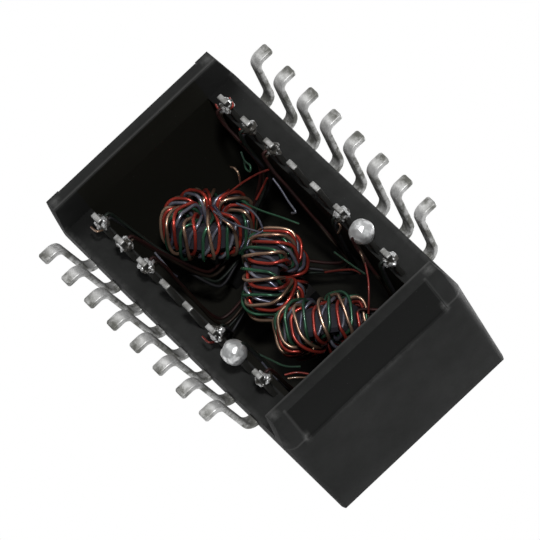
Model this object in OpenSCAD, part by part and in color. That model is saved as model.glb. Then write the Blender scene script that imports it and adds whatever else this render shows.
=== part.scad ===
// Surface-mount transformer module, standing on its feet with the board plane at z = 0.
// An open-bottomed moulded case carries sixteen gull-wing leads. Each lead bends down
// inside the case into a post, and three wound toroids are soldered to the posts.
// +X runs along the row of leads, +Z points away from the board.

/* [Case] */
// Case length at the parting line
case_l = 12.72; // [12.4:0.02:13.4]
// Case width at the parting line
case_w = 7.24; // [7.14:0.02:7.36]
// Height of the flat top above the board
case_h = 6.1; // [5.9:0.05:7]
// Draft of the moulded walls, in degrees
draft = 3.5; // [1:0.5:4]
// Radius of the four upright corners at the parting line
corner_r = 0.46; // [0.36:0.02:0.6]
// Radius of the four upright corners at the top
corner_top_r = 0.24; // [0.16:0.02:0.34]
// Radius round the flat top
top_r = 0.3; // [0.2:0.05:0.5]
// Thickness of the roof
roof_t = 0.55; // [0.4:0.05:0.7]
// Thickness of the two end walls at their rim
end_wall_t = 0.43; // [0.36:0.01:0.5]
// Height of the end wall rims above the board
rim_z = 0.35; // [0.25:0.05:0.5]
// Height of the ledge under the leads
ledge_z = 1.47; // [1.3:0.01:1.6]
// Width of the hollow between the two ledges
hollow_w = 4.96; // [4.9:0.02:5.04]
// Depth of the shallow recess in the lower half of each end
recess_depth = 0.07; // [0.05:0.01:0.12]
// Width of the recess in each end
recess_w = 5.8; // [4.5:0.02:5.9]

/* [Leads] */
// Lead pitch
pitch = 1.27; // [1.25:0.01:1.29]
// Lead width
lead_w = 0.42; // [0.3:0.02:0.5]
// Lead thickness
lead_t = 0.18; // [0.15:0.01:0.22]
// Span over the toes of the two rows
toe_span = 9.56; // [9.3:0.02:10]
// Height of the lead plane, which is also the parting line
lead_z = 1.85; // [1.8:0.01:1.95]
// Lean of the leg from upright, in degrees
leg_lean = 8; // [0:1:12]
// Height of the lower end of the posts
post_z = 0.33; // [0.2:0.01:0.45]

/* [Toroids] */
// Outside diameter of the ferrite core
core_od = 2.4; // [2.3:0.02:2.44]
// Height of the ferrite core
core_h = 0.86; // [0.76:0.02:0.9]
// Enamelled wire diameter
wire_d = 0.11; // [0.09:0.005:0.115]

/* [Solder] */
// Diameter of an ordinary joint
joint_d = 0.5; // [0.48:0.01:0.6]
// Diameter of the two large balls
ball_d = 0.8; // [0.7:0.02:0.86]

/* [Build] */
// Piece to build

/* [Hidden] */
$fn = 64;
eps = 0.01;

// Rows of leads: numbers 1 to 8 along +Y, 9 to 16 back along -Y
leads_a_side = 8;
lead_count = 2 * leads_a_side;
function lead_x(n) =
    ((n <= leads_a_side ? n : lead_count + 1 - n) - (leads_a_side + 1) / 2) * pitch;
function lead_side(n) = n <= leads_a_side ? 1 : -1;

// Lead profile: post, bend, shoulder, bend, leg, bend, foot
post_y = 2.66;
post_bend_r = 0.2;
shoulder_y = 3.57;
shoulder_r = 0.38;
heel_r = 0.3;
toe_corner_r = 0.12;
leg_turn = 90 - leg_lean;
leg_drop = lead_z - lead_t / 2 - (shoulder_r + heel_r) * (1 - sin(leg_lean));
leg_l = leg_drop / cos(leg_lean);
foot_y = shoulder_y + (shoulder_r + heel_r) * cos(leg_lean) + leg_l * sin(leg_lean);

// Recess in the ends: how far its floor leans in towards the rim, and its upper face
recess_lean = 0.03;
recess_z = 2;
recess_rise = 0.05;

// Case envelope
half_l = case_l / 2;
half_w = case_w / 2;
draft_in = (case_h - lead_z) * tan(draft);
skirt_in = 0.22;
skirt_r = 0.42;
seam = 0.05;
rim_in = 0.06;
inner_l = half_l - recess_depth - recess_lean - end_wall_t;
roof_z = case_h - roof_t;
cross = 0.015;

// Core and winding
bore_d = 1.45;
core_chamfer = 0.12;
strands = 4;
turns = 11;
winding_arc = 344.5;

// Wired posts, four to a toroid: the two for the wire starts, then the two for the ends
wired = [
    [2, 1, 16, 15],
    [3, 6, 14, 11],
    [10, 9, 8, 7]
];
big_balls = [7, 10];
ball_x = -0.1;
ball_z = 0.52;
joint_z = 0.7;
joint_round = 0.12;
socket_gap = 0.002;
wire_entry_z = [0.6, 0.8];

// Toroid centre, tilt and heading of its axis, and the turn of its two wire ends
hang = 2.45;
toroid_z = roof_z - hang;
toroids = [
    [[-3.48, 0.2, toroid_z], 143, 246, 150],
    [[-0.16, -0.06, toroid_z], 81, 317, 238],
    [[2.58, 0.02, toroid_z], 64.5, 36, 278]
];

// Point that the four wire starts of a toroid pass on their way, then the four ends
ways = [
    [[-2.45, 1.25, toroid_z + 0.85], [-3, -2.1, toroid_z - 0.5]],
    [[-1.2, 2, toroid_z + 1.4], [0.6, -2, toroid_z + 1.2]],
    [[4.2, -1.9, toroid_z + 0.1], [4.2, 1.9, toroid_z + 0.1]]
];
way_gap = [0.14, 0.03, 0.12];
colour_names = ["red", "copper", "green", "blue"];
colours = [[0.55, 0.08, 0.05], [0.7, 0.42, 0.25], [0.08, 0.3, 0.14], [0.3, 0.33, 0.42]];

case();
for (n = [1 : lead_count])
    lead(n);
for (t = [1 : 3]) {
    core(t - 1);
    for (k = [0 : strands - 1])
        wire(t - 1, k);
    for (n = wired[t - 1])
        solder(n);
    adhesive(t - 1);
}

// ---- Case ----

module case() {
    color([0.13, 0.13, 0.14])
    difference() {
        case_envelope();
        for (sx = [0, 1]) for (sy = [0, 1])
            mirror([sx, 0, 0]) mirror([0, sy, 0]) corner_cut();
        for (s = [0, 1]) {
            mirror([0, s, 0]) top_cut(half_w, 0, case_l);
            mirror([s, 0, 0]) top_cut(half_l, 90, case_w);
            mirror([s, 0, 0]) end_recess();
        }
        translate([-inner_l, -case_w, -eps])
            cube([2 * inner_l, 2 * case_w, ledge_z + eps]);
        hollow();
        for (n = [1 : lead_count]) lead_solid(n);
    }
}

// Side outline and end outline, each run through the other
module case_envelope() {
    intersection() {
        translate([0, case_w, 0]) rotate([90, 0, 0]) linear_extrude(2 * case_w)
            polygon([
                [-half_l + rim_in, rim_z], [half_l - rim_in, rim_z],
                [half_l, lead_z], [half_l - draft_in, case_h],
                [-half_l + draft_in, case_h], [-half_l, lead_z]
            ]);
        translate([-case_l, 0, 0]) rotate([90, 0, 90]) linear_extrude(2 * case_l)
            polygon([
                [-half_w + skirt_in, rim_z], [half_w - skirt_in, rim_z],
                [half_w, lead_z], [half_w - draft_in, case_h],
                [-half_w + draft_in, case_h], [-half_w, lead_z]
            ]);
    }
}

// What is cut away to round one upright corner. Above the parting line the rounding shrinks
// and follows the draft, below it the tapering walls run out of the rounding by themselves
module corner_cut() {
    wall_h = case_h - lead_z;
    grow = (corner_top_r - corner_r) / wall_h;
    lean = (draft_in - corner_r + corner_top_r) * sqrt(2);
    translate([half_l, half_w, lead_z]) {
        translate([cross - corner_r, cross - corner_r, 0])
            rotate([0, atan2(lean, wall_h), 225]) rotate([0, 0, -225])
                corner_tool(-seam, wall_h + top_r, corner_r, grow);
        translate([cross - skirt_r, cross - skirt_r, 0])
            corner_tool(-lead_z, 0, skirt_r, 0);
    }
}

// Block outside a rounding whose radius is r at height 0 and grows by grow for each mm
module corner_tool(low, high, r, grow) {
    difference() {
        translate([0, 0, low]) cube([r + 1, r + 1, high - low]);
        translate([0, 0, low - eps])
            cylinder(r1 = r + grow * low, r2 = r + grow * high, h = high - low + 2 * eps);
    }
}

// What is cut away to round one edge of the top, reach away from the centre
module top_cut(reach, turn, length) {
    back = top_r - cross;
    level = case_h - back;
    face = reach - (level - lead_z) * tan(draft);
    rotate([0, 0, -turn]) translate([0, face - back / cos(draft), level]) rotate([0, 90, 0])
        difference() {
            translate([-top_r - 1, 0, -length]) cube([top_r + 1, top_r + 1, 2 * length]);
            cylinder(r = top_r, h = 2 * length + 1, center = true);
        }
}

// Drafted hollow between the ledges
module hollow() {
    hollow_in = (roof_z - ledge_z) * tan(1);
    intersection() {
        translate([0, case_w, 0]) rotate([90, 0, 0]) linear_extrude(2 * case_w)
            polygon([
                [-inner_l, 0], [inner_l, 0], [inner_l, ledge_z],
                [inner_l - hollow_in, roof_z], [-inner_l + hollow_in, roof_z],
                [-inner_l, ledge_z]
            ]);
        translate([-case_l, 0, 0]) rotate([90, 0, 90]) linear_extrude(2 * case_l)
            polygon([
                [-hollow_w / 2, 0], [hollow_w / 2, 0], [hollow_w / 2, ledge_z],
                [hollow_w / 2 - hollow_in, roof_z], [-hollow_w / 2 + hollow_in, roof_z],
                [-hollow_w / 2, ledge_z]
            ]);
    }
}

// Shallow recess in the lower half of an end wall, open at the rim, its upper face sloping out
module end_recess() {
    floor_x = half_l - recess_depth;
    translate([0, recess_w / 2, 0]) rotate([90, 0, 0]) linear_extrude(recess_w)
        polygon([
            [floor_x - recess_lean, 0], [half_l + 1, 0],
            [half_l + 1, recess_z + recess_rise * (1 + recess_depth) / recess_depth],
            [floor_x, recess_z]
        ]);
}

// ---- Leads ----

module lead(n) {
    color([0.72, 0.73, 0.75]) difference() {
        lead_solid(n);
        for (s = [0, 1])
            translate([lead_x(n), 0, 0]) mirror([s, 0, 0])
                mirror([0, lead_side(n) < 0 ? 1 : 0, 0]) toe_corner();
    }
}

// What is cut away to round one corner of a toe
module toe_corner() {
    back = toe_corner_r - cross / 2;
    translate([lead_w / 2 - back, toe_span / 2 - back, -eps]) difference() {
        cube([1, 1, lead_t + 2 * eps]);
        translate([0, 0, -eps]) cylinder(r = toe_corner_r, h = lead_t + 4 * eps);
    }
}

module lead_solid(n) {
    translate([lead_x(n), 0, 0]) mirror([0, lead_side(n) < 0 ? 1 : 0, 0])
        translate([0, post_y, post_z]) rotate([90, 0, 90]) rotate([0, 0, 90])
            strip([
                ["run", lead_z - post_bend_r - post_z],
                ["bend", -90, post_bend_r],
                ["run", shoulder_y - post_y - post_bend_r],
                ["bend", -leg_turn, shoulder_r],
                ["run", leg_l],
                ["bend", leg_turn, heel_r],
                ["run", toe_span / 2 - foot_y]
            ]);
}

// Flat strip formed along +X: each run goes straight on, each bend turns the strip to the
// left by its angle about a centre-line radius, or to the right for a negative angle
module strip(steps, at = 0) {
    if (at < len(steps)) {
        step = steps[at];
        if (step[0] == "run") {
            translate([0, -lead_t / 2, -lead_w / 2]) cube([step[1], lead_t, lead_w]);
            translate([step[1], 0, 0]) strip(steps, at + 1);
        } else {
            way = sign(step[1]);
            translate([0, way * step[2], 0]) {
                rotate([0, 0, way > 0 ? -90 : 90 + step[1]]) rotate_extrude(angle = abs(step[1]))
                    translate([step[2] - lead_t / 2, -lead_w / 2]) square([lead_t, lead_w]);
                rotate([0, 0, step[1]]) translate([0, -way * step[2], 0])
                    strip(steps, at + 1);
            }
        }
    }
}

// ---- Toroids ----

function turn_x(v, a) = [v[0], v[1] * cos(a) - v[2] * sin(a), v[1] * sin(a) + v[2] * cos(a)];
function turn_y(v, a) = [v[0] * cos(a) + v[2] * sin(a), v[1], v[2] * cos(a) - v[0] * sin(a)];
function turn_z(v, a) = [v[0] * cos(a) - v[1] * sin(a), v[0] * sin(a) + v[1] * cos(a), v[2]];
function placed(t, v) = toroids[t][0]
    + turn_z(turn_y(turn_z(v, toroids[t][3]), toroids[t][1]), toroids[t][2]);

module at_toroid(t) {
    translate(toroids[t][0]) rotate([0, toroids[t][1], toroids[t][2]]) children();
}

module core(t) {
    color([0.2, 0.19, 0.19]) at_toroid(t) rotate_extrude()
        polygon([
            [bore_d / 2 + core_chamfer, -core_h / 2], [core_od / 2 - core_chamfer, -core_h / 2],
            [core_od / 2, -core_h / 2 + core_chamfer], [core_od / 2, core_h / 2 - core_chamfer],
            [core_od / 2 - core_chamfer, core_h / 2], [bore_d / 2 + core_chamfer, core_h / 2],
            [bore_d / 2, core_h / 2 - core_chamfer], [bore_d / 2, -core_h / 2 + core_chamfer]
        ]);
}

// Bundle of four strands: half its thickness, and half its spread at the outer rim
bundle = 0.089;
rim_spread = 0.25;
stand_off = bundle + 0.09;
loop_out = core_od / 2 + stand_off;
loop_half_h = core_h / 2 + stand_off;

// Four turns lie in an inner layer in the bore and arch over the others on their way in
inner_turns = [0, 3, 6, 8];
inner_r = 0.27;
outer_r = bore_d / 2 - stand_off;
arch = 0.276;
bore_start = 21;
squareness = 0.626;
function inner_rank(i) = len([for (k = inner_turns) if (k < i) k]);
function is_inner(i) = len([for (k = inner_turns) if (k == i) k]) > 0;
function bore_angle(i) = is_inner(i)
    ? inner_rank(i) * 360 / len(inner_turns)
    : bore_start + (i - inner_rank(i)) * 360 / (turns - len(inner_turns));
function bore_share(a) = (1 - cos(a)) / 2;
function squared(v) = sign(v) * pow(abs(v), squareness);
function in_r(i) = is_inner(i) ? inner_r : outer_r;
function loop_r(i, a) = (loop_out + in_r(i)) / 2 + (loop_out - in_r(i)) / 2 * squared(cos(a));
function loop_z(i, a) = (loop_half_h + (is_inner(i) ? arch : 0) * bore_share(a)) * squared(sin(a));
function wrap(a) = a - 360 * round(a / 360);
function loop_turn(i, a) = (i + a / 360) * winding_arc / turns
    + wrap(bore_angle(i) - (i + 0.5) * winding_arc / turns) * bore_share(a);

// Point of strand k on turn i, where a runs from 0 at the rim over the core and back to 360
function strand_at(i, a, k) =
    let (
        r = loop_r(i, a),
        dr = loop_r(i, a + 0.1) - loop_r(i, a - 0.1),
        dz = loop_z(i, a + 0.1) - loop_z(i, a - 0.1),
        twist = a + 90 * k,
        off = bundle * sin(twist) / norm([dr, dz]),
        out = (r - in_r(i)) / (loop_out - in_r(i)),
        spread = bundle + (rim_spread - bundle) * max(out, 0)
    )
    turn_z([r + dz * off, spread * cos(twist), loop_z(i, a) - dr * off], loop_turn(i, a));

// Angles at which a turn has its sections
section_angles = [30, 61, 90, 119, 153, 207, 241, 270, 299, 330];

function unit(v) = v / norm(v);
function squashed(v, along) = unit(v - along * (v * along));
function bezier(p, u) = pow(1 - u, 3) * p[0] + 3 * u * pow(1 - u, 2) * p[1]
    + 3 * u * u * (1 - u) * p[2] + pow(u, 3) * p[3];

// From a winding's end to a solder joint: entry is 0 for the deeper wire and 1 for the other.
// The wire leaves straight, swings past its way point and dives to the joint along the wall
entry_y = 2.3;
seat_y = 2.45;
leave = 0.4;
swing = 0.5;
dive_in = 0.2;
dive_up = 0.7;
ball_drop = 0.25;
rings = 4;
function entry_z(n, entry) = wire_entry_z[entry] - (is_ball(n) ? ball_drop : 0);
function lead_out(p, along, way, n, entry) =
    let (
        side = lead_side(n),
        z = entry_z(n, entry),
        gate = [lead_x(n), side * entry_y, z],
        pull = unit(gate - p) * swing,
        first = [p, p + along * leave, way - pull, way],
        second = [way, way + pull, gate + [0, -side * dive_in, dive_up], gate]
    )
    concat(
        [for (u = [1 : rings]) bezier(first, u / rings)],
        [for (u = [1 : rings]) bezier(second, u / rings)],
        [[lead_x(n), side * seat_y, z]]
    );

function reversed(v) = [for (i = [len(v) - 1 : -1 : 0]) v[i]];

function wire_path(t, k) =
    let (
        local = concat(
            [strand_at(0, 0, k)],
            [for (i = [0 : turns - 1]) for (a = section_angles) strand_at(i, a, k)],
            [strand_at(turns - 1, 360, k)]
        ),
        coil = [for (p = local) placed(t, p)],
        last = len(coil) - 1,
        entry = k % 2,
        place = (k - 1.5) * way_gap,
        start = wired[t][k < 2 ? 0 : 1],
        finish = wired[t][k < 2 ? 2 : 3]
    )
    concat(
        reversed(lead_out(coil[0], unit(coil[0] - coil[1]), ways[t][0] + place, start, entry)),
        coil,
        lead_out(coil[last], unit(coil[last] - coil[last - 1]), ways[t][1] + place, finish, entry)
    );

// Square-section tube along a path, its section carried along without twist
module tube(path, r) {
    last = len(path) - 1;
    along = [for (j = [0 : last])
        unit(path[min(j + 1, last)] - path[max(j - 1, 0)])];
    first = squashed([0.3, 0.2, 1], along[0]);
    across = [for (
        j = 0, v = first;
        j <= last;
        j = j + 1, v = squashed(v, along[min(j, last)])
    ) v];
    points = [for (j = [0 : last]) for (q = [0 : 3])
        path[j] + r * (cos(90 * q) * across[j] + sin(90 * q) * cross(along[j], across[j]))];
    sides = [for (j = [0 : last - 1]) for (q = [0 : 3])
        let (a = 4 * j + q, b = 4 * j + (q + 1) % 4)
        for (f = [[a, a + 4, b], [b, a + 4, b + 4]]) f];
    ends = [[0, 1, 2], [0, 2, 3], [4 * last, 4 * last + 2, 4 * last + 1],
        [4 * last, 4 * last + 3, 4 * last + 2]];
    polyhedron(points, concat(sides, ends));
}

module wire(t, k) {
    color(colours[k]) tube(wire_path(t, k), wire_d / 2);
}

// ---- Solder and adhesive ----

function is_ball(n) = len([for (b = big_balls) if (b == n) b]) > 0;

module solder(n) {
    side = lead_side(n);
    x = lead_x(n);
    color([0.78, 0.79, 0.8]) difference() {
        translate([x, side * post_y, 0]) {
            if (is_ball(n)) translate([ball_x, 0, ball_z]) sphere(d = ball_d);
            else intersection() {
                translate([0, 0, joint_z]) sphere(d = joint_d + joint_round);
                cylinder(d = joint_d, h = case_h);
            }
        }
        lead_solid(n);
        for (entry = [0, 1])
            translate([x, side * seat_y, entry_z(n, entry)]) rotate([90 * side, 0, 0])
                cylinder(d = wire_d + 2 * socket_gap, h = joint_d);
    }
}

// Pad between the roof and a toroid, hollowed to the toroid's wound outline
pad_w = 1.3;
pad_low = 1.1;
hub_r = 0.9;
clear = bundle + wire_d / 2 + 0.02;
module adhesive(t) {
    color([0.1, 0.1, 0.1]) difference() {
        translate(toroids[t][0] + [-pad_w / 2, -pad_w / 2, pad_low])
            cube([pad_w, pad_w, roof_z - toroids[t][0][2] - pad_low]);
        at_toroid(t) {
            cylinder(r = loop_out + clear, h = 2 * (loop_half_h + clear), center = true);
            cylinder(r = hub_r, h = 2 * (loop_half_h + arch + clear), center = true);
        }
    }
}
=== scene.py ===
# %% [markdown]
# # A surface-mount transformer module
#
# The part is an open-bottomed moulded case with sixteen bent leads. Inside, three ring cores are
# wound with fine enamelled wire, and the wires are soldered to the inner ends of the leads. The
# solid model gives every size. This lesson adds rounded edges, real wire and real finishes to it.
# Blender works in metres, so the sizes below, which are in millimetres, are multiplied by MM.

# %% Load the solid model
import math

import bmesh
import bpy
from mathutils import Matrix, Vector, noise


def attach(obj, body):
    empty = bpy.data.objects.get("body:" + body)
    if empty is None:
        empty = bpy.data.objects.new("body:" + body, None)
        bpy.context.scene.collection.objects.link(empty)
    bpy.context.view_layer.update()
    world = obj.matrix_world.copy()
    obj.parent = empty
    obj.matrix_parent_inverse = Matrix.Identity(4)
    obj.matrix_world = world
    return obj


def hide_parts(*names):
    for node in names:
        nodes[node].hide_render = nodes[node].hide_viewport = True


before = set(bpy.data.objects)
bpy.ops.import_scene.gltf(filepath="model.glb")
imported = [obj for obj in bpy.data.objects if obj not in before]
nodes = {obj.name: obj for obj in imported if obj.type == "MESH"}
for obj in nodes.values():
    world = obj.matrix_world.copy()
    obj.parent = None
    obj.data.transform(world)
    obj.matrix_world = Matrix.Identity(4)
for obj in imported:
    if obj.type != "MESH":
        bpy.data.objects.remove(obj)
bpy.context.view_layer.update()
MM = 0.001


# %% [markdown]
# The camera looks up at the open underside from beyond the +X end wall, about 50 degrees below the
# board plane, and it is rolled so that the long side of the case runs down to the right. A long
# lens keeps the perspective flat, as in a close product shot. The camera's right, up and backward
# directions are the columns of its rotation. A helper script fitted them, so they aren't round.

# %% Camera
LENS, SENSOR_WIDTH = 666.37, 36
CAMERA_PLACE = Vector((195.225, 18.986, -231.942)) * MM
CAMERA_RIGHT = Vector((0.55561, -0.726945, 0.403545))
CAMERA_UP = Vector((-0.532455, -0.683866, -0.498818))

cam_data = bpy.data.cameras.new("view_from_below")
cam_data.sensor_width = SENSOR_WIDTH
cam_data.lens = LENS
cam_data.clip_start = 0.01
cam_data.clip_end = 20
camera = bpy.data.objects.new("view_from_below", cam_data)
bpy.context.collection.objects.link(camera)
camera_back = CAMERA_RIGHT.cross(CAMERA_UP).normalized()
camera_turn = Matrix((CAMERA_RIGHT, CAMERA_UP, camera_back)).transposed().to_4x4()
camera.matrix_world = Matrix.Translation(CAMERA_PLACE) @ camera_turn
bpy.context.scene.camera = camera
bpy.context.scene.view_settings.view_transform = "Standard"
print("camera is", round(CAMERA_PLACE.length / MM), "mm from the part")

# %% [markdown]
# Every finish and every swept piece below is a node tree. Wiring nodes one by one is slow to read,
# so a small class wraps a socket: arithmetic is typed as a Python expression, and each operator
# adds one Math node. Three more methods make the soft masks that dust, painted shade and painted
# highlights need: above or below a level, or near it.

# %% Arithmetic on sockets
class Num:
    """A value that a node puts out, with the arithmetic that this lesson uses."""

    def __init__(self, tree, socket):
        self.tree, self.socket = tree, socket

    def maths(self, operation, *values):
        return self.tree.add("ShaderNodeMath", {"operation": operation}, list(values))

    def __add__(self, other):
        return self.maths("ADD", self, other)

    def __radd__(self, other):
        return self.maths("ADD", other, self)

    def __sub__(self, other):
        return self.maths("SUBTRACT", self, other)

    def __rsub__(self, other):
        return self.maths("SUBTRACT", other, self)

    def __mul__(self, other):
        return self.maths("MULTIPLY", self, other)

    def __rmul__(self, other):
        return self.maths("MULTIPLY", other, self)

    def __truediv__(self, other):
        return self.maths("DIVIDE", self, other)

    def __abs__(self):
        return self.maths("ABSOLUTE", self)

    def clamp(self):
        return self.maths("MINIMUM", self.maths("MAXIMUM", self, 0.0), 1.0)

    def above(self, level, soft):
        """1 above the level and 0 below it, changing over a width of soft."""
        return ((self - level) / soft + 0.5).clamp()

    def below(self, level, soft):
        return ((level - self) / soft + 0.5).clamp()

    def near(self, level, reach):
        """1 at the level, falling to 0 at a distance of reach."""
        return (1 - abs(self - level) / reach).clamp()

print("arithmetic ready")

# %% [markdown]
# A second class holds a tree and makes every other node from its type, its settings and its
# inputs. Materials, the world and Geometry Nodes share it, because all their trees are built the
# same way. A finish is such a tree with a Principled shader in it and a few helpers of its own.

# %% Trees and finishes
class Tree:
    """A node tree, and the one method that adds nodes to it."""

    def __init__(self, tree):
        self.nodes, self.links = tree.nodes, tree.links
        self.nodes.clear()

    def add(self, kind, settings, inputs, out=0):
        """Adds a node. Inputs are a list in the sockets' order, or a dictionary by name."""
        node = self.nodes.new(kind)
        for key, value in settings.items():
            setattr(node, key, value)
        pairs = enumerate(inputs) if isinstance(inputs, list) else inputs.items()
        for key, value in pairs:
            self.feed(node.inputs[key], value)
        return Num(self, node.outputs[out]) if node.outputs else node

    def feed(self, socket, value):
        if isinstance(value, Num):
            self.links.new(value.socket, socket)
        else:
            socket.default_value = value

    def ray_is(self, *kinds):
        """1 for a light ray of one of these kinds, and 0 for any other."""
        path = self.add("ShaderNodeLightPath", {}, {}).socket.node
        return sum(Num(self, path.outputs[f"Is {kind} Ray"]) for kind in kinds).clamp()


class Finish(Tree):
    """A material whose Principled shader is fed by a few lines of node maths."""

    def __init__(self, name):
        self.material = bpy.data.materials.new(name)
        self.material.use_nodes = True
        super().__init__(self.material.node_tree)
        self.surface = self.add("ShaderNodeBsdfPrincipled", {}, {})
        self.output = self.add("ShaderNodeOutputMaterial", {}, [self.surface])
        self.place = self.add("ShaderNodeTexCoord", {}, {}, "Object")

    def set(self, **values):
        for key, value in values.items():
            self.feed(self.surface.socket.node.inputs[key.replace("_", " ")], value)

    def mm(self):
        """The three coordinates of the point, in millimetres."""
        apart = self.add("ShaderNodeSeparateXYZ", {}, {"Vector": self.place})
        return [Num(self, socket) / MM for socket in apart.socket.node.outputs]

    def noise(self, per_mm, detail=3.0, roughness=0.55):
        return self.add("ShaderNodeTexNoise", {}, {
            "Vector": self.place, "Scale": per_mm / MM,
            "Detail": detail, "Roughness": roughness}, "Fac")

    def blend(self, amount, low, high):
        """A colour that goes from low to high as the amount goes from 0 to 1."""
        low, high = ((*c, 1) if isinstance(c, tuple) else c for c in (low, high))
        return self.add("ShaderNodeMix", {"data_type": "RGBA"}, {0: amount, 6: low, 7: high}, 2)

    def bump(self, height, depth_mm, strength=1.0):
        return self.add("ShaderNodeBump", {}, {
            "Strength": strength, "Distance": depth_mm * MM, "Height": height})

print("trees ready")

# %% [markdown]
# The case is moulded in black, mineral-filled plastic. Up close it isn't one even black: the skin
# has a fine grain, faint cloudy patches and scattered pale dust. The recesses in the ends are
# blacker. The hollow and the ledge ends at -X are painted dark with shade, since almost no light
# comes back out of them, and pale highlights are painted on the end walls and the ledge edges. An
# image painted by hand could show this, but masks worked out from the place of each point need no
# unwrapping and stay sharp at any distance.
#
# The first cell gives the places on the case and the colours. The next finds where highlights are
# painted pale on the end walls: along the recess, the parting line and the rim.

# %% Places and colours on the case
CASE_L, HOLLOW_L, HOLLOW_W = 12.72, 11.66, 4.96
RECESS_W, RECESS_TOP, PARTING_Z = 5.8, 1.98, 1.87
RIM_Z, RIM_INNER_X, RIM_SPOT = 0.42, 5.86, (6.05, 3.2)
LEDGE_EDGE_Y, LEDGE_EDGE_Z, LEDGE_PAINTED_SHADE_X = 3.44, (1.3, 1.6), -5.1

# Painted light among these colours: the 0.004 black and the hollow's black are painted shade, and
# the 0.10 grey is a painted highlight.
SKIN_DARK, SKIN_PALE = (0.0145, 0.015, 0.0145), (0.0225, 0.023, 0.0225)
LEDGE_PAINTED_SHADE, RECESS_BLACK = (0.004, 0.004, 0.004), (0.0072, 0.0075, 0.0072)
HOLLOW_PAINTED_SHADE = (0.0088, 0.0086, 0.0068)
PAINTED_HIGHLIGHT, DUST = (0.10, 0.10, 0.098), (0.15, 0.15, 0.145)
print("case is", CASE_L, "mm long, its hollow", HOLLOW_L, "by", HOLLOW_W)

# %% Where highlights are painted on the end walls
def painted_highlights(far_x, far_y, z, end_face, highlight_patches):
    # Painted highlights: pale lines and spots where the recess, the parting line and the rim catch
    # light.
    sides = far_y.near(RECESS_W / 2, 0.07) * z.below(RECESS_TOP + 0.05, 0.1) * 0.35
    corners = far_y.near(RECESS_W / 2 - 0.03, 0.16) * z.near(RECESS_TOP - 0.1, 0.32) * 1.2
    brow = z.near(RECESS_TOP + 0.12, 0.14) * far_y.below(1.6, 1.0) * highlight_patches * 0.3
    parting = z.near(PARTING_Z, 0.07) * far_y.above(RECESS_W / 2, 0.1) * 0.5
    rim_line = z.below(RIM_Z, 0.04) * far_x.near(RIM_INNER_X, 0.07) * 0.45
    rim_spot = (z.below(0.5, 0.1) * far_x.near(RIM_SPOT[0], 0.25)
                * far_y.near(RIM_SPOT[1], 0.25) * highlight_patches)
    return (end_face * (sides + corners * highlight_patches + brow + parting) + rim_line + rim_spot).clamp()

# The six places hold painted highlights.
print("the end walls have six painted-highlight places each")

# %% Finish: black moulded plastic
def black_moulding():
    f = Finish("black moulding")
    x, y, z = f.mm()
    far_x, far_y = abs(x), abs(y)
    cloud = 0.5 * f.noise(0.35, 4) + 0.5 * f.noise(1.4, 5, 0.65)
    grain = f.noise(14, 5, 0.7)
    dust = f.noise(22, 2, 0.5).above(0.76, 0.05)
    highlight_patches = f.noise(4, 4, 0.7).above(0.45, 0.3)
    body = f.blend(cloud.above(0.5, 0.3), SKIN_DARK, SKIN_PALE)

    # painted shade: the ledge ends at -X lie deep in shade and are darkened
    ledge_painted_shade = (x.below(LEDGE_PAINTED_SHADE_X, 0.8) * z.below(1.7, 0.1) * z.above(0.45, 0.1)
              * far_x.below(CASE_L / 2 - 0.2, 0.1))
    body = f.blend(ledge_painted_shade * 0.65, body, LEDGE_PAINTED_SHADE)

    end_face = far_x.above(CASE_L / 2 - 0.17, 0.02)
    recess = end_face * far_y.below(RECESS_W / 2 + 0.02, 0.03) * z.below(RECESS_TOP + 0.06, 0.04)
    body = f.blend(recess * z.above(0.4, 0.03), body, RECESS_BLACK)
    # painted highlights on the end walls
    body = f.blend(painted_highlights(far_x, far_y, z, end_face, highlight_patches), body, PAINTED_HIGHLIGHT)

    # painted highlight: the outer edges of the two ledges are paler where they catch the light
    edge = (far_y.above(LEDGE_EDGE_Y, 0.12) * z.below(LEDGE_EDGE_Z[1], 0.1)
            * z.above(LEDGE_EDGE_Z[0], 0.1))
    body = f.blend(edge * highlight_patches * 0.25, body, PAINTED_HIGHLIGHT)

    # painted shade: the whole hollow is darkened, since almost no light comes back out of it
    painted_shade = (far_x.below(HOLLOW_L / 2 + 0.01, 0.02) * far_y.below(HOLLOW_W / 2 + 0.01, 0.02)
               * z.above(RIM_Z, 0.05))
    body = f.blend(painted_shade, body, HOLLOW_PAINTED_SHADE)
    f.set(Base_Color=f.blend(dust * 0.3, body, DUST),
          Roughness=0.5 + 0.2 * grain - 0.1 * painted_shade,
          Normal=f.bump(grain + 0.5 * f.noise(45, 2), 0.006, 0.6),
          Specular_IOR_Level=0.08)
    return f.material

moulding = black_moulding()
print("made", moulding.name)

# %% [markdown]
# The leads are copper-alloy strip plated with tin. Matt tin is a soft grey metal with darker
# patches, and the tips of the toes are the most tarnished. The bent legs are darker too, partly
# from tarnish and partly from painted shade. One noise steers both colour and roughness, so that
# they read as one surface. Inside the case, the sides of the posts are made dark, and only their
# cut tips are bright.

# %% Finish: tinned lead
TIN, TARNISH_AND_SHADE, POST_DARK = (0.60, 0.60, 0.595), (0.17, 0.17, 0.155), (0.02, 0.02, 0.018)


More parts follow.
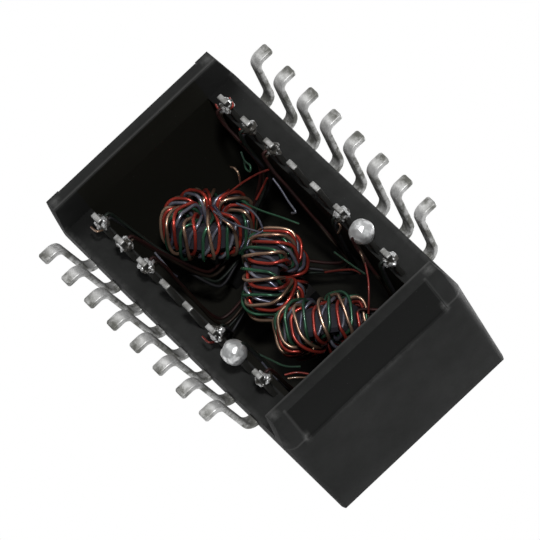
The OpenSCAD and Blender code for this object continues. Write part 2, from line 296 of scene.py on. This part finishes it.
def tinned_strip():
    f = Finish("tinned strip")
    _, y, z = f.mm()
    far_y = abs(y)
    blotch = f.noise(2.6, 5, 0.7)
    pits = f.noise(12, 3, 0.6)
    # painted shade: the bent legs are darkened evenly, on top of their tarnish patches
    leg = z.above(0.3, 0.3)
    toe = far_y.above(4.5, 0.25) * z.below(0.3, 0.1) * (0.25 + 0.5 * blotch.above(0.45, 0.2))
    tarnish_and_shade = (blotch.above(0.5, 0.16) * (0.25 + 0.6 * leg) + 0.25 * leg + toe).clamp()
    # the sides of the posts inside the case are made dark
    post_dark = far_y.below(3.0, 0.1) * z.above(0.37, 0.03)
    f.set(Base_Color=f.blend(post_dark, f.blend(tarnish_and_shade, TIN, TARNISH_AND_SHADE), POST_DARK),
          Metallic=0.7 - 0.55 * post_dark,
          Roughness=0.42 + 0.16 * tarnish_and_shade,
          Normal=f.bump(0.4 * pits + blotch, 0.010, 0.5))
    return f.material

tin = tinned_strip()
print("made", tin.name)

# %% [markdown]
# Solder is also mostly tin, but it was molten: it is smoother and brighter, with a frosty
# texture where it cooled and brown flux residue in patches. The two big balls are cleaner than
# the small joints, so the level above which the noise counts as residue is an argument.

# %% Finish: solder
BRIGHT_SOLDER, RESIDUE = (0.82, 0.83, 0.83), (0.045, 0.042, 0.036)


def solder_metal(name, residue_level):
    f = Finish(name)
    frost = f.noise(7, 5, 0.65)
    residue = f.noise(3.2, 3, 0.5).above(residue_level, 0.08)
    f.set(Base_Color=f.blend(residue, BRIGHT_SOLDER, RESIDUE),
          Metallic=0.8 - 0.6 * residue,
          Roughness=0.22 + 0.22 * frost,
          Normal=f.bump(frost, 0.02, 0.7))
    return f.material

solder_ball, solder_joint = solder_metal("solder ball", 0.68), solder_metal("solder joint", 0.5)
print("made", solder_ball.name, "and", solder_joint.name)

# %% [markdown]
# The cores are dark grey ferrite, a ceramic with a fine, slightly sparkling grain. The pads that
# hold the toroids to the roof are near-black silicone. The cores show between the wires and the
# pads hardly at all, so one noise and a shallow bump are enough for each.

# %% Finishes: ferrite and silicone
def ferrite_body():
    f = Finish("ferrite")
    grain = f.noise(18, 4, 0.7)
    f.set(Base_Color=f.blend(grain, (0.016, 0.016, 0.022), (0.036, 0.034, 0.042)),
          Roughness=0.65 + 0.2 * grain, Normal=f.bump(grain, 0.008, 0.6),
          Specular_IOR_Level=0.15)
    return f.material


def silicone_pad():
    f = Finish("silicone")
    skin = f.noise(3, 3)
    f.set(Base_Color=f.blend(skin, (0.002, 0.002, 0.002), (0.006, 0.006, 0.006)),
          Roughness=0.4 + 0.25 * skin, Normal=f.bump(skin, 0.03, 0.5))
    return f.material

ferrite, silicone = ferrite_body(), silicone_pad()
print("made", ferrite.name, "and", silicone.name)

# %% [markdown]
# Magnet wire is copper under a thin coat of tinted enamel. The enamel is glossy and clear, so it
# is a coat over a coloured metal-like base, and its tint varies a little along the wire. Four
# tints tell the strands apart: red, natural copper, green and blue-grey. Painted shade darkens the
# wire and dulls its coat near the roof, on the ends that leave the coils, and a little toward +X.

# %% Finish: enamelled wire
PAINTED_SHADE_Z, PAINTED_SHADE_X, WIRE_PAINTED_SHADE = 4.0, 1.8, (0.006, 0.0055, 0.0055)


def enamel(name, thin, thick, metal):
    f = Finish(name)
    along = f.noise(1.1, 3, 0.6)
    x, _, z = f.mm()
    # painted shade: from each point's mark, from depth toward the roof, and toward +X
    painted_shade_strength = f.add("ShaderNodeAttribute", {"attribute_name": "painted_shade"}, {}, "Fac")
    painted_wire_shade = (z.above(PAINTED_SHADE_Z, 1.8) + painted_shade_strength + 0.3 * x.above(PAINTED_SHADE_X, 0.5)).clamp()
    tint = f.blend(along.above(0.5, 0.35), thin, thick)
    f.set(Base_Color=f.blend(painted_wire_shade * 0.95, tint, WIRE_PAINTED_SHADE),
          Metallic=metal, Roughness=0.22 + 0.15 * along + 0.25 * painted_wire_shade,
          Coat_Weight=0.9 - 0.87 * painted_wire_shade, Coat_Roughness=0.06,
          Normal=f.bump(f.noise(9, 2), 0.004, 0.4))
    return f.material

ENAMELS = {
    "red": enamel("red enamel", (0.60, 0.065, 0.04), (0.20, 0.025, 0.02), 0.6),
    "copper": enamel("copper enamel", (0.78, 0.54, 0.38), (0.28, 0.15, 0.10), 0.85),
    "green": enamel("green enamel", (0.055, 0.19, 0.10), (0.02, 0.06, 0.04), 0.6),
    "blue": enamel("blue enamel", (0.30, 0.31, 0.36), (0.07, 0.07, 0.12), 0.6),
}
print("made", len(ENAMELS), "enamels")

# %% [markdown]
# The solid pieces arrive as loose triangles with knife-sharp edges. A moulding or a stamping tool
# always leaves a small radius, and that radius catches the light along every edge. So a piece is
# copied, its triangles are merged, flat ones are dissolved into whole faces, and a narrow bevel is
# added by a modifier. Its clamp keeps bevels from crossing where edges lie close together.

# %% Merging, finishing and joining a piece
MERGE_DISTANCE, FLAT_ANGLE = 1e-7, math.radians(0.6)


def merged_copy(node_name, name):
    mesh = bmesh.new()
    mesh.from_mesh(nodes[node_name].data)
    bmesh.ops.remove_doubles(mesh, verts=mesh.verts, dist=MERGE_DISTANCE)
    bmesh.ops.dissolve_limit(mesh, angle_limit=FLAT_ANGLE, verts=mesh.verts, edges=mesh.edges)
    data = bpy.data.meshes.new(name)
    mesh.to_mesh(data)
    mesh.free()
    piece = bpy.data.objects.new(name, data)
    bpy.context.collection.objects.link(piece)
    return piece


def finished(piece):
    """Replaces a piece's mesh by what its modifiers make of it."""
    made = bpy.data.meshes.new_from_object(
        piece.evaluated_get(bpy.context.evaluated_depsgraph_get()))
    piece.modifiers.clear()
    piece.data = made
    return piece


def joins_root(piece, slot, *stands_for):
    """Rides the piece on the part's one body, and lets it stand for these solids."""
    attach(piece, "root")
    if stands_for:
        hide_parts(*stands_for)

print("ready to finish pieces")

# %% The case with rounded edges
CASE_EDGE_R, BEVEL_SEGMENTS = 0.04, 2
BEVEL_ANGLE, SHADE_ANGLE = math.radians(28), math.radians(35)


def rounded(node_name, name, radius, material):
    piece = merged_copy(node_name, name)
    bevel = piece.modifiers.new("edge radius", "BEVEL")
    bevel.width = radius
    bevel.segments = BEVEL_SEGMENTS
    bevel.limit_method = "ANGLE"
    bevel.angle_limit = BEVEL_ANGLE
    bevel.use_clamp_overlap = True
    finished(piece)
    piece.data.materials.clear()
    piece.data.materials.append(material)
    for polygon in piece.data.polygons:
        polygon.use_smooth = True
    piece.data.set_sharp_from_angle(angle=SHADE_ANGLE)
    return piece

case_piece = rounded("case", "case_moulding", CASE_EDGE_R * MM, moulding)
joins_root(case_piece, "case_plastic", "case")
print("case faces:", len(case_piece.data.polygons))

# %% [markdown]
# Each lead is stamped from strip and bent, and stamping rounds its long edges a little. All
# sixteen are rounded in the same way as the case. They stay sixteen pieces, because each lead is
# a part of its own in the moulding.

# %% Leads with rounded edges
LEAD_COUNT, LEAD_EDGE_R = 16, 0.03
for number in range(1, LEAD_COUNT + 1):
    name = f"lead_{number}"
    joins_root(rounded(name, name + "_formed", LEAD_EDGE_R * MM, tin), "tinned_lead", name)
print("leads:", LEAD_COUNT)

# %% [markdown]
# The cores and their pads need no new shape, since wire covers nearly all of them. Their solids
# stay as they are and only get a finish.

# %% Finishes for the solid pieces that stay
for name, solid in nodes.items():
    finish = {"core": ferrite, "adhesive": silicone}.get(name.split("_")[0])
    if finish:
        solid.data.materials.clear()
        solid.data.materials.append(finish)
        print(name, "is", finish.name)

# %% [markdown]
# Each ring core is wound with a bundle of four fine wires, eleven turns in all. The path of a
# turn follows a rule: out over the flat face, round the rim, back under and up through the bore,
# on a loop that is squarer than an ellipse. The four strands also twist about each other once a
# turn. Such a rule is best kept as arithmetic, because every strand is then the same few lines.
#
# The sizes and angles are those of the solid model, in millimetres and degrees, so each strand
# lies where its plain solid does. Four of the turns run in an inner layer in the bore and arch
# over their neighbours, so that wire nearly fills the bore.

# %% Sizes of a winding
TURNS, STRANDS, WINDING_ARC = 11, 4, 344.5
CORE_R, BORE_R, CORE_HALF_H = 1.2, 0.725, 0.43
BUNDLE, RIM_SPREAD = 0.089, 0.25
STAND_OFF = BUNDLE + 0.09
LOOP_OUT, LOOP_HALF_H = CORE_R + STAND_OFF, CORE_HALF_H + STAND_OFF
INNER_TURNS, INNER_R, ARCH = (0, 3, 6, 8), 0.27, 0.276
OUTER_R, BORE_START, SQUARENESS = BORE_R - STAND_OFF, 21, 0.626
print("turns:", TURNS, " loop is", round(LOOP_OUT - OUTER_R, 3), "mm wide")

# %% The loop of one turn
def sin(degrees):
    return math.sin(math.radians(degrees))


def cos(degrees):
    return math.cos(math.radians(degrees))


def squared(v):
    """Pulls a sine or cosine toward 1 or -1, which squares an ellipse."""
    return math.copysign(abs(v) ** SQUARENESS, v)


def bore_share(a):
    """0 at the rim and 1 in the bore."""
    return (1 - cos(a)) / 2


def in_r(i):
    return INNER_R if i in INNER_TURNS else OUTER_R


def loop_r(i, a):
    return (LOOP_OUT + in_r(i)) / 2 + (LOOP_OUT - in_r(i)) / 2 * squared(cos(a))


def loop_z(i, a):
    return (LOOP_HALF_H + (ARCH if i in INNER_TURNS else 0) * bore_share(a)) * squared(sin(a))

print("a loop reaches from", round(in_r(0), 3), "or", round(in_r(1), 3), "to", round(LOOP_OUT, 3))

# %% [markdown]
# Round the core, the turns are evenly spaced at the rim, and in the bore each layer is evenly
# spaced by itself. A strand's place on its turn is the bundle's middle, plus a small offset that
# circles that middle once a turn and spreads flat at the rim.

# %% A strand on its turn
def bore_angle(i):
    rank = sum(k < i for k in INNER_TURNS)
    if i in INNER_TURNS:
        return rank * 360 / len(INNER_TURNS)
    return BORE_START + (i - rank) * 360 / (TURNS - len(INNER_TURNS))


def loop_turn(i, a):
    """How far round the core the point is, in degrees."""
    step = WINDING_ARC / TURNS
    shift = bore_angle(i) - (i + 0.5) * step
    return (i + a / 360) * step + (shift - 360 * round(shift / 360)) * bore_share(a)


def strand_at(i, a, k):
    """Point of strand k on turn i, where a runs from 0 at the rim over the core to 360."""
    dr, dz = loop_r(i, a + 0.1) - loop_r(i, a - 0.1), loop_z(i, a + 0.1) - loop_z(i, a - 0.1)
    r, twist = loop_r(i, a), a + k * 360 / STRANDS
    off = BUNDLE * sin(twist) / math.hypot(dr, dz)
    out = max((r - in_r(i)) / (LOOP_OUT - in_r(i)), 0)
    spread = (BUNDLE + (RIM_SPREAD - BUNDLE) * out) * cos(twist)
    turn = Matrix.Rotation(math.radians(loop_turn(i, a)), 3, "Z")
    return turn @ Vector((r + dz * off, spread, loop_z(i, a) - dr * off))

print("the first strand starts at", [round(v, 2) for v in strand_at(0, 0, 0)])

# %% [markdown]
# The three toroids lie tilted in the hollow, as they settled when they were glued in. From each
# coil, the four wire starts and the four ends leave for their own solder joints. The places, the
# numbers of the leads and the way points that the wires swing past are those of the solid model.

# %% Where the toroids lie and where their wires go
PITCH, TOROID_Z, WIRE_D = 1.27, 3.1, 0.11
TOROIDS = [  # centre, tilt and heading of the axis, turn of the wire ends
    ((-3.48, 0.2, TOROID_Z), 143, 246, 150),
    ((-0.16, -0.06, TOROID_Z), 81, 317, 238),
    ((2.58, 0.02, TOROID_Z), 64.5, 36, 278)]
WIRED = [(2, 1, 16, 15), (3, 6, 14, 11), (10, 9, 8, 7)]
BIG_BALLS = (7, 10)
WAYS = [
    ((-2.45, 1.25, TOROID_Z + 0.85), (-3, -2.1, TOROID_Z - 0.5)),
    ((-1.2, 2, TOROID_Z + 1.4), (0.6, -2, TOROID_Z + 1.2)),
    ((4.2, -1.9, TOROID_Z + 0.1), (4.2, 1.9, TOROID_Z + 0.1))]
WAY_GAP = Vector((0.14, 0.03, 0.12))
ENTRY_Y, SEAT_Y, ENTRY_Z, BALL_DROP = 2.3, 2.45, (0.6, 0.8), 0.25
LEAVE, SWING, DIVE = 0.4, 0.5, (0.2, 0.7)


def lead_x(n):
    """Leads 1 to 8 run along the +Y side, and 9 to 16 come back along the other."""
    return ((n if n <= LEAD_COUNT // 2 else LEAD_COUNT + 1 - n) - 4.5) * PITCH


def lead_side(n):
    return 1 if n <= LEAD_COUNT // 2 else -1


def placed(t, v):
    """A point of a winding, moved to where toroid t lies."""
    centre, tilt, heading, spin = TOROIDS[t]
    turn = Matrix.Identity(3)
    for angle, axis in ((heading, "Z"), (tilt, "Y"), (spin, "Z")):
        turn = turn @ Matrix.Rotation(math.radians(angle), 3, axis)
    return Vector(centre) + turn @ v

print("wired leads:", sorted(n for posts in WIRED for n in posts))

# %% [markdown]
# A whole wire is one route: from its first joint past a way point to the coil, eleven turns, and
# past another way point to its last joint. A wire could be left to hang by simulation, but these
# are short and stiff, so two cubic Bezier curves an end are enough.

# %% The route of a whole wire
LEAD_OUT_RINGS = 9
LEAD_POINTS = 2 * LEAD_OUT_RINGS + 1


def bezier(p, u):
    return ((1 - u) ** 3 * p[0] + 3 * u * (1 - u) ** 2 * p[1]
            + 3 * u * u * (1 - u) * p[2] + u ** 3 * p[3])


def lead_out(p, along, way, n, entry):
    """From the coil's end at p past the way point, and down into the joint on lead n."""
    side, z = lead_side(n), ENTRY_Z[entry] - (BALL_DROP if n in BIG_BALLS else 0)
    gate = Vector((lead_x(n), side * ENTRY_Y, z))
    pull = (gate - p).normalized() * SWING
    dive = gate + Vector((0, -side * DIVE[0], DIVE[1]))
    steps = [(i + 1) / LEAD_OUT_RINGS for i in range(LEAD_OUT_RINGS)]
    return ([bezier((p, p + along * LEAVE, way - pull, way), u) for u in steps]
            + [bezier((way, way + pull, dive, gate), u) for u in steps]
            + [Vector((lead_x(n), side * SEAT_Y, z))])


def wire_route(t, k, step=9):
    """Points of wire k on toroid t, a point every so many degrees of a turn."""
    coil = [placed(t, strand_at(i, a, k)) for i in range(TURNS) for a in range(0, 360, step)]
    coil.append(placed(t, strand_at(TURNS - 1, 360, k)))
    entry, gap = k % 2, (k - 1.5) * WAY_GAP
    start, finish = WIRED[t][0 if k < 2 else 1], WIRED[t][2 if k < 2 else 3]
    first, last = (coil[0] - coil[1]).normalized(), (coil[-1] - coil[-2]).normalized()
    return (lead_out(coil[0], first, Vector(WAYS[t][0]) + gap, start, entry)[::-1] + coil
            + lead_out(coil[-1], last, Vector(WAYS[t][1]) + gap, finish, entry))

route = wire_route(0, 0)
print("points on one wire:", len(route), " length in mm:",
      round(sum((b - a).length for a, b in zip(route, route[1:])), 1))

# %% [markdown]
# Geometry Nodes turn such a route into wire. A Geometry Nodes tree has named inputs for its
# sizes, and they show in the modifier, where a reader can turn them. This class makes the inputs,
# and sets them on a piece by their identifiers before the tree runs for the first time.

# %% A tree with named inputs
class Shaper(Tree):
    """A Geometry Nodes tree with named inputs."""

    KINDS = {float: "NodeSocketFloat", int: "NodeSocketInt"}

    def __init__(self, name, **sizes):
        self.group = bpy.data.node_groups.new(name, "GeometryNodeTree")
        super().__init__(self.group)
        face = self.group.interface
        face.new_socket("Geometry", in_out="INPUT", socket_type="NodeSocketGeometry")
        for label, value in sizes.items():
            kind = self.KINDS.get(type(value), "NodeSocketMaterial")
            socket = face.new_socket(label, in_out="INPUT", socket_type=kind)
            if kind != "NodeSocketMaterial":
                socket.default_value = value
        face.new_socket("Geometry", in_out="OUTPUT", socket_type="NodeSocketGeometry")
        taken = self.add("NodeGroupInput", {}, {}).socket.node
        self.size = {socket.name: Num(self, socket) for socket in taken.outputs if socket.name}

    def give(self, geometry):
        """Ends the tree with this geometry."""
        self.add("NodeGroupOutput", {}, [geometry])

    def shape(self, piece, **values):
        """Runs the tree on a piece with these inputs, and keeps the plain mesh that it makes."""
        modifier = piece.modifiers.new(self.group.name, "NODES")
        modifier.node_group = self.group
        for item in self.group.interface.items_tree:
            if item.in_out == "INPUT" and item.name in values:
                modifier[item.identifier] = values[item.name]
        return finished(piece)

print("ready to build a tree")

# %% [markdown]
# The route goes in as a chain of points. The tree makes it a smooth curve, lets it waver a little
# as hand-wound wire does, sweeps a round section along it and shades it smooth. One tree serves
# all the wires, and the seed is what makes each wire waver in its own way. A curve object with a
# bevel would also give a round wire, but not the waver.

# %% The tree that draws wire
NOISE_SPAN = 4  # the noise seldom strays more than a quarter from its middle


def wire_drawer():
    g = Shaper("draw wire", Radius=WIRE_D / 2 * MM, Sides=8, Smoothing=2, Waver=0.035 * MM,
               Waves_per_metre=0.9 / MM, Seed=1.0, Material=None)
    s = g.size
    curve = g.add("GeometryNodeMeshToCurve", {}, {"Mesh": s["Geometry"]})
    curve = g.add("GeometryNodeCurveSplineType", {"spline_type": "CATMULL_ROM"}, {"Curve": curve})
    curve = g.add("GeometryNodeSetSplineResolution", {}, {
        "Geometry": curve, "Resolution": s["Smoothing"]})
    waves = g.add("ShaderNodeTexNoise", {"noise_dimensions": "4D"}, {
        "Vector": g.add("GeometryNodeInputPosition", {}, {}), "W": s["Seed"],
        "Scale": s["Waves_per_metre"], "Detail": 1.0}, "Color")
    centred = g.add("ShaderNodeVectorMath", {"operation": "SUBTRACT"}, [waves, (0.5, 0.5, 0.5)])
    offset = g.add("ShaderNodeVectorMath", {"operation": "SCALE"}, {
        "Vector": centred, "Scale": s["Waver"] * NOISE_SPAN})
    curve = g.add("GeometryNodeSetPosition", {}, {"Geometry": curve, "Offset": offset})
    section = g.add("GeometryNodeCurvePrimitiveCircle", {}, {
        "Resolution": s["Sides"], "Radius": s["Radius"]})
    wire = g.add("GeometryNodeCurveToMesh", {}, {
        "Curve": curve, "Profile Curve": section, "Fill Caps": True})
    wire = g.add("GeometryNodeSetShadeSmooth", {}, {"Geometry": wire})
    wire = g.add("GeometryNodeRealizeInstances", {}, {"Geometry": wire})
    g.give(g.add("GeometryNodeSetMaterial", {}, {"Geometry": wire, "Material": s["Material"]}))
    return g

drawer = wire_drawer()
print("nodes in the tree:", len(drawer.nodes))

# %% [markdown]
# A chain is a mesh of points and edges without faces, which is the simplest thing to hand to the
# tree. Some points carry a mark, an attribute that says how much shade is painted on the wire
# there. It travels with the points through the whole tree, and the enamel's material reads it on
# the finished wire.

# %% Chains of points
def chains(name, routes, painted_shade_points, painted_shade_strength):
    """A piece that is so far only chains of points, in millimetres, one chain a route."""
    data = bpy.data.meshes.new(name)
    points, edges = [], []
    for route in routes:
        edges += [(len(points) + i, len(points) + i + 1) for i in range(len(route) - 1)]
        points += [Vector(p) * MM for p in route]
    data.from_pydata(points, edges, [])
    # each marked point carries this much painted shade
    coat = data.attributes.new("painted_shade", "FLOAT", "POINT")
    for i in painted_shade_points:
        coat.data[i].value = painted_shade_strength
    piece = bpy.data.objects.new(name, data)
    bpy.context.collection.objects.link(piece)
    return piece

print("ready to draw wires")

# %% [markdown]
# Now the twelve wires are drawn, four to a toroid, and each stands for its plain solid. The
# points between coil and solder joint carry full painted shade all through, because those
# stretches lie deep in the dark hollow.

# %% Twelve wires
SEEDS_PER_TOROID = 7.0
faces = 0
for t in range(len(TOROIDS)):
    for k, colour in enumerate(ENAMELS):
        route = wire_route(t, k)
        free = [i for i in range(len(route)) if not LEAD_POINTS <= i < len(route) - LEAD_POINTS]
        wire = chains(f"strand_{colour}_{t + 1}", [route], free, 1.0)
        drawer.shape(wire, Radius=WIRE_D / 2 * MM, Seed=SEEDS_PER_TOROID * t + k,
                     Material=ENAMELS[colour])
        joins_root(wire, "enamel_" + colour, f"wire_{colour}_{t + 1}")
        faces += len(wire.data.polygons)
print("faces in the windings:", faces)

# %% [markdown]
# Hand work leaves loose ends: wires that cross from a toroid to a post, a spare loop, a tail that
# was cut too long. Each is a short route of three to six points. They were marked one by one, with
# a guessed depth, and a helper script turned the marks into these millimetres. The same tree draws
# them. They are gathered by colour, because a chain may hold several separate routes.

# %% Loose loops and tails
# The loose wires carry painted shade at four tenths of full strength.
LOOSE_R, LOOSE_PAINTED_SHADE, LOOSE_SMOOTHING, LOOSE_SEED = 0.035, 0.4, 8, 31.0
LOOSE_WIRES = [
    ("red", (-2.92, -0.54, 2), (-2.5, -1.25, 1.6), (-2.1, -1.78, 1.3), (-1.75, -2.13, 1.1)),
    ("red", (-2.13, -1.3, 2.2), (-2.12, -1.66, 2), (-2.02, -1.96, 1.7)),
    ("copper", (-3.02, -1.43, 1.3), (-2.77, -1.46, 1.2), (-2.57, -1.42, 1.3), (-2.76, -1.27, 1.9)),
    ("green", (-3.16, -1.96, 1.3), (-2.76, -1.83, 1.2), (-2.39, -1.82, 1.1), (-2.3, -1.69, 1.2),
     (-2.58, -1.68, 1.3), (-3.01, -1.82, 1.5)),
    ("green", (-2.28, -2.58, 0.8), (-2.1, -2.47, 0.9), (-2.15, -2.28, 1.3)),
    ("blue", (-2.71, -0.1, 1.9), (-2, -0.17, 1.8), (-1.44, -0.33, 1.8), (-0.89, -0.61, 1.9)),
    ("blue", (-2.22, -0.76, 1.8), (-1.58, -0.91, 1.7), (-1.1, -0.88, 1.7), (-0.78, -0.75, 1.8)),
    ("green", (-2, -0.96, 1.9), (-1.28, -1.13, 1.8), (-0.61, -1.38, 1.8), (-0.11, -1.64, 2)),
    ("blue", (-1.6, -2.06, 1.4), (-1.26, -2.03, 1.6), (-0.83, -1.92, 1.8), (-0.46, -1.84, 1.9),
     (-0.62, -1.74, 2)),
    ("copper", (1.52, -2.5, 0.9), (1.83, -2.4, 0.8), (2.03, -2.36, 0.9), (1.98, -2.2, 1.1)),
    ("copper", (3.06, -2.27, 0.9), (3.4, -2.18, 0.9), (3.54, -2.08, 1.1)),
    ("red", (3.54, -2.08, 1.1), (4, -1.79, 1.3), (4.37, -1.43, 1.5), (4.53, -1.11, 1.8)),
    ("green", (2.04, -1.72, 1.6), (2.78, -1.79, 1.5), (3.64, -1.89, 1.4)),
    ("red", (2.04, -1.13, 2), (2.49, -1.43, 1.8), (3.01, -1.72, 1.6), (3.42, -1.79, 1.5)),
    ("green", (3.07, 2.25, 1), (3.62, 2.03, 1.2), (4.17, 1.83, 1.3), (4.54, 1.51, 1.4)),
    ("blue", (3.6, 2.25, 1.1), (3.93, 2.27, 1.2), (4.46, 2.29, 1.2)),
    ("red", (4.75, 2.06, 0.9), (4.9, 1.73, 1), (5.12, 1.51, 1.2)),
    ("copper", (4.86, 2.08, 1), (5.04, 1.82, 1.1), (5.17, 1.57, 1.3)),
    ("red", (1.54, 2.97, 0.8), (1.93, 2.96, 0.7), (1.93, 2.82, 0.9)),
    ("blue", (-2.79, 2.1, 1.5), (-2.39, 2.12, 1.6), (-1.97, 2.14, 1.8), (-1.88, 2.1, 2)),
    ("blue", (-0.81, -0.72, 1.9), (-0.82, -0.28, 1.8), (-0.69, 0, 1.9), (-0.6, 0.14, 2.1)),
    ("copper", (-4.63, 2.95, 0.75), (-4.22, 2.92, 0.6), (-4.25, 2.72, 0.8)),
    ("red", (-4.84, -2.46, 0.8), (-4.56, -2.4, 0.75), (-4.27, -2.55, 0.7), (-4.16, -2.78, 0.6),
     (-4.54, -2.88, 0.7)),
    ("red", (-3.38, -2.42, 0.7), (-3.21, -2.36, 0.8), (-3.48, -2.2, 1.3)),
    ("copper", (1.73, 0.73, 2.6), (2.2, 0.86, 2.4), (2.49, 0.99, 2.4)),
]
for number, colour in enumerate(ENAMELS):
    routes = [route for kind, *route in LOOSE_WIRES if kind == colour]
    tails = chains(f"loose_wires_{colour}", routes, range(sum(map(len, routes))), LOOSE_PAINTED_SHADE)
    drawer.shape(tails, Radius=LOOSE_R * MM, Smoothing=LOOSE_SMOOTHING,
                 Seed=LOOSE_SEED + number, Material=ENAMELS[colour])
    joins_root(tails, "enamel_" + colour)
    print(colour, "loose wires:", len(routes))

# %% [markdown]
# A solder joint is a frozen drop. Surface tension rounds it, the post holds it up in the middle,
# and the wires pull it about, so no two are alike. Each is an icosphere whose points are pushed
# in and out by a smooth noise, which is quicker than a simulated fluid and as round.

# %% Solder joints
POST_Y, SEED_STEP, DROP_SUBDIVISIONS = 2.66, 3.7, 5
BALL_D, BALL_X, BALL_Z, BALL_ROUGHNESS = 0.8, -0.1, 0.52, 0.10
JOINT_RADII, JOINT_X, JOINT_Y, JOINT_Z = (0.25, 0.22, 0.2), 0.03, POST_Y - 0.04, 0.68
JOINT_ROUGHNESS = 0.55


def swell(way, seed):
    """How far a drop bulges that way: broad swellings with smaller ones on them."""
    broad = noise.noise(way * 1.3 + Vector((seed, 0, 0)))
    small = noise.noise(way * 3.1 + Vector((0, seed, 0)))
    return broad + 0.35 * small


def drop(name, centre, radii, roughness, seed, metal):
    mesh = bmesh.new()
    bmesh.ops.create_icosphere(mesh, subdivisions=DROP_SUBDIVISIONS, radius=1)
    for vert in mesh.verts:
        way = vert.co.normalized()
        size = 1 + roughness * swell(way, seed)
        vert.co = Vector(centre) * MM + Vector(w * r * size * MM for w, r in zip(way, radii))
    for face in mesh.faces:
        face.smooth = True
    data = bpy.data.meshes.new(name)
    mesh.to_mesh(data)
    mesh.free()
    data.materials.append(metal)
    piece = bpy.data.objects.new(name, data)
    bpy.context.collection.objects.link(piece)
    return piece


for number in sorted(n for posts in WIRED for n in posts):
    x, side, seed = lead_x(number), lead_side(number), number * SEED_STEP
    if number in BIG_BALLS:
        piece = drop(f"solder_ball_{number}", (x + BALL_X, side * POST_Y, BALL_Z),
                     [BALL_D / 2] * 3, BALL_ROUGHNESS, seed, solder_ball)
    else:
        piece = drop(f"solder_joint_{number}", (x + JOINT_X, side * JOINT_Y, JOINT_Z),
                     JOINT_RADII, JOINT_ROUGHNESS, seed, solder_joint)
    joins_root(piece, "solder", f"solder_{number}")
print("solder joints:", sum(len(posts) for posts in WIRED))

# %% [markdown]
# The floor is the board plane, and the camera looks up through it. So the floor has a front only:
# seen from behind, or met by a shadow ray, it is clear, and the lamps below can light the
# underside as they do when the part lies on its back on a white table. It lies a hair below the
# toes, so that the two faces don't flicker.

# %% Floor
FLOOR_HALF, FLOOR_Z = 0.6, -0.02 * MM


def one_sided_floor():
    f = Finish("floor")
    f.set(Base_Color=(0.82, 0.82, 0.82, 1), Roughness=0.8)
    behind = f.add("ShaderNodeNewGeometry", {}, {}, "Backfacing")
    unseen = (behind + f.ray_is("Shadow")).clamp()
    clear = f.add("ShaderNodeBsdfTransparent", {}, {})
    mixed = f.add("ShaderNodeMixShader", {}, [unseen, f.surface, clear])
    f.feed(f.output.inputs[0], mixed)
    return f.material

corners = [(x * FLOOR_HALF, y * FLOOR_HALF, FLOOR_Z)
           for x, y in ((-1, -1), (1, -1), (1, 1), (-1, 1))]
floor_mesh = bpy.data.meshes.new("floor")
floor_mesh.from_pydata(corners, [], [(0, 1, 2, 3)])
floor = bpy.data.objects.new("floor", floor_mesh)
floor.data.materials.append(one_sided_floor())
bpy.context.collection.objects.link(floor)
print("floor is", 2 * FLOOR_HALF, "m wide")

# %% [markdown]
# The world does two jobs. It lights the part with a soft, slightly blue grey, and wherever the
# camera, a mirror or a glass looks past the part, it is plain white. A Mix Shader chooses between
# the two by the kind of ray, so the white shows behind the part and in reflections only.

# %% World
world = bpy.data.worlds.new("studio")
bpy.context.scene.world = world
world.use_nodes = True
sky = Tree(world.node_tree)
soft = sky.add("ShaderNodeBackground", {}, {"Color": (0.95, 0.97, 1, 1), "Strength": 0.3})
white = sky.add("ShaderNodeBackground", {}, {"Color": (1, 1, 1, 1), "Strength": 1.0})
seen = sky.ray_is("Camera", "Glossy", "Transmission")
sky.add("ShaderNodeOutputWorld", {}, [sky.add("ShaderNodeMixShader", {}, [seen, soft, white])])
print("nodes in the world:", len(sky.nodes))

# %% [markdown]
# Four round lamps do the rest. The key is small and hard, and it draws the bright lines on the
# wires and the solder. The table light is broad and low, like light thrown back by a white table.
# The overhead lamp lights the roof and the sides, and the fill opens the shadows a little.

# %% Lamps
PART_MIDDLE = Vector((0, 0, 3)) * MM
LAMPS = [  # name, place in metres, width in metres, watts
    ("key", (0.171, -0.046, -0.318), 0.04, 0.95),
    ("table light", (-0.224, -0.02, -0.27), 0.22, 0.24),
    ("overhead", (-0.12, -0.2, 0.4), 0.3, 0.9),
    ("fill", (0.35, -0.1, -0.05), 0.25, 0.1)]

for name, place, width, power in LAMPS:
    data = bpy.data.lights.new(name, "AREA")
    data.shape = "DISK"
    data.size = width
    data.energy = power
    lamp = bpy.data.objects.new(name, data)
    bpy.context.collection.objects.link(lamp)
    lamp.location = place
    lamp.rotation_euler = (PART_MIDDLE - Vector(place)).to_track_quat("-Z", "Y").to_euler()
print("lamps:", len(bpy.data.lights))
